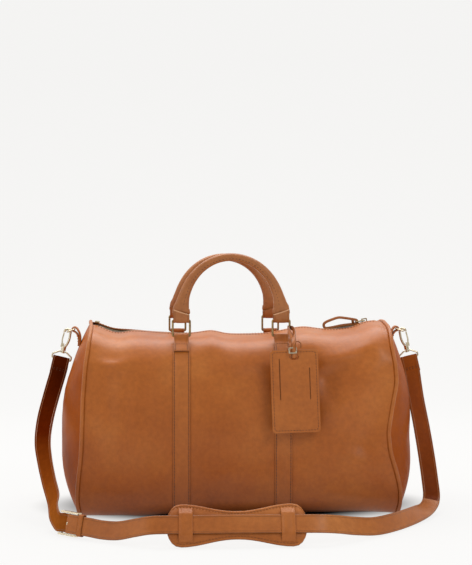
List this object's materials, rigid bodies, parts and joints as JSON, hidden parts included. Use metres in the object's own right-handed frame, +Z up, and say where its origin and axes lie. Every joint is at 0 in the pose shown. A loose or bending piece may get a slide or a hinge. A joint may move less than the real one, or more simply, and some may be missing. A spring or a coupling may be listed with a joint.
{
  "type": "weekender bag",
  "caption": "Soft leather weekender bag with rolled handles on rings, zipped top, luggage tag, and a shoulder strap with pad, buckle and snap hooks.",
  "frame": {"origin": "centre of the bag's base, on the surface it stands on", "axes": "+Z up, +X along the bag to the right as seen from the front, -Y towards the front, where the tag and the strap lie"},
  "size_m": [0.569, 0.4208, 0.3645],
  "materials": {
    "body_leather": "smooth cognac leather, semi-matte",
    "trim_leather": "smooth cognac leather with darker cut edges",
    "handle_leather": "rolled cognac leather",
    "strap_leather": "cognac leather, dark inner face",
    "cord_filler": "twisted cotton cord",
    "brass": "antique brass, satin",
    "zip_metal": "antique brass teeth",
    "zip_fabric": "brown woven tape",
    "lining_fabric": "cotton twill lining",
    "board": "stiff base board",
    "card": "blank address card"
  },
  "bodies": {
    "bag": {"back_panel": "body_leather", "bands_back": "trim_leather", "bands_front": "trim_leather", "base_board": "board", "bottom_panel": "body_leather", "buckle_frame": "brass", "clip_loop_left": "brass", "clip_loop_right": "brass", "d_ring_left": "brass", "d_ring_right": "brass", "d_ring_tab_left": "trim_leather", "d_ring_tab_right": "trim_leather", "end_panel_left": "body_leather", "end_panel_right": "body_leather", "front_panel": "body_leather", "inner_pocket": "lining_fabric", "inner_pocket_binding": "lining_fabric", "lining": "lining_fabric", "piping_left": "trim_leather", "piping_right": "trim_leather", "ring_loops_back": "trim_leather", "ring_loops_front": "trim_leather", "strap_long_middle": "strap_leather", "strap_long_right": "strap_leather", "strap_short": "strap_leather", "zip_end_tabs": "trim_leather", "zip_tape_back": "zip_fabric", "zip_tape_front": "zip_fabric", "zip_teeth_back": "zip_metal", "zip_teeth_front": "zip_metal"},
    "rings_front": {"rings_front": "brass"},
    "handle_front": {"handle_front_grip": "handle_leather", "handle_front_core": "cord_filler", "handle_front_ends": "handle_leather"},
    "rings_back": {"rings_back": "brass"},
    "handle_back": {"handle_back_grip": "handle_leather", "handle_back_core": "cord_filler", "handle_back_ends": "handle_leather"},
    "luggage_tag": {"tag_back": "trim_leather", "tag_card": "card", "tag_front": "trim_leather", "tag_belt": "trim_leather", "tag_buckle": "brass"},
    "zip_slider": {"zip_slider": "brass"},
    "zip_link": {"zip_link": "brass"},
    "zip_pull": {"zip_pull": "trim_leather"},
    "hook_left": {"clip_hook_left": "brass"},
    "hook_right": {"clip_hook_right": "brass"},
    "gate_left": {"clip_gate_left": "brass"},
    "gate_right": {"clip_gate_right": "brass"},
    "buckle_prong": {"buckle_prong": "brass"},
    "strap_keeper": {"strap_keeper": "strap_leather"},
    "shoulder_pad": {"shoulder_pad": "strap_leather", "pad_bridges": "strap_leather"}
  },
  "joints": [
    {"name": "rings_front_swing", "type": "hinge", "parent": "bag", "child": "rings_front", "pos_m": [0, -0.072, 0.249], "axis": [1, 0, 0], "range_deg": [-35, 0]},
    {"name": "handle_front_swing", "type": "hinge", "parent": "rings_front", "child": "handle_front", "pos_m": [0, -0.072, 0.271], "axis": [1, 0, 0], "range_deg": [-60, 60]},
    {"name": "rings_back_swing", "type": "hinge", "parent": "bag", "child": "rings_back", "pos_m": [0, 0.072, 0.249], "axis": [1, 0, 0], "range_deg": [0, 35]},
    {"name": "handle_back_swing", "type": "hinge", "parent": "rings_back", "child": "handle_back", "pos_m": [0, 0.072, 0.271], "axis": [1, 0, 0], "range_deg": [-60, 60]},
    {"name": "tag_swing", "type": "hinge", "parent": "rings_front", "child": "luggage_tag", "pos_m": [0.072, -0.072, 0.26], "axis": [1, 0, 0], "range_deg": [-35, 0]},
    {"name": "zip_travel", "type": "hinge", "parent": "bag", "child": "zip_slider", "pos_m": [0, 0, 1.429], "axis": [0, 1, 0], "range_deg": [0, 15.69]},
    {"name": "zip_link_hinge", "type": "hinge", "parent": "zip_slider", "child": "zip_link", "pos_m": [0.18751, 0, 0.26708], "axis": [0, 1, 0], "range_deg": [0, 100]},
    {"name": "zip_pull_hinge", "type": "hinge", "parent": "zip_link", "child": "zip_pull", "pos_m": [0.17468, 0, 0.26501], "axis": [0, 1, 0], "range_deg": [0, 60]},
    {"name": "hook_right_swivel", "type": "hinge", "parent": "bag", "child": "hook_right", "pos_m": [0.24421, 0, 0.25062], "axis": [-0.2334, 0, 0.9724], "range_deg": [-30, 30]},
    {"name": "gate_right_hinge", "type": "hinge", "parent": "hook_right", "child": "gate_right", "pos_m": [0.25193, 0, 0.23304], "axis": [0, 1, 0], "range_deg": [-17, 0], "stiffness_Nm_per_rad": 0.01, "springref_deg": 17.19},
    {"name": "hook_left_swivel", "type": "hinge", "parent": "bag", "child": "hook_left", "pos_m": [-0.24421, 0, 0.25062], "axis": [0.2334, 0, 0.9724], "range_deg": [-30, 30]},
    {"name": "gate_left_hinge", "type": "hinge", "parent": "hook_left", "child": "gate_left", "pos_m": [-0.25193, 0, 0.23304], "axis": [0, 1, 0], "range_deg": [0, 17], "stiffness_Nm_per_rad": 0.01, "springref_deg": -17.19},
    {"name": "buckle_prong_hinge", "type": "hinge", "parent": "bag", "child": "buckle_prong", "pos_m": [-0.226, -0.226, 0.0177], "axis": [0.1444, 0.1277, 0.9812], "range_deg": [-14, 0]},
    {"name": "strap_keeper_slide", "type": "slide", "parent": "bag", "child": "strap_keeper", "axis": [0.8603, -0.5061, -0.0607], "range_m": [-0.001, 0.008]},
    {"name": "shoulder_pad_slide", "type": "slide", "parent": "bag", "child": "shoulder_pad", "axis": [1, 0, 0], "range_m": [-0.012, 0.012]}
  ]
}
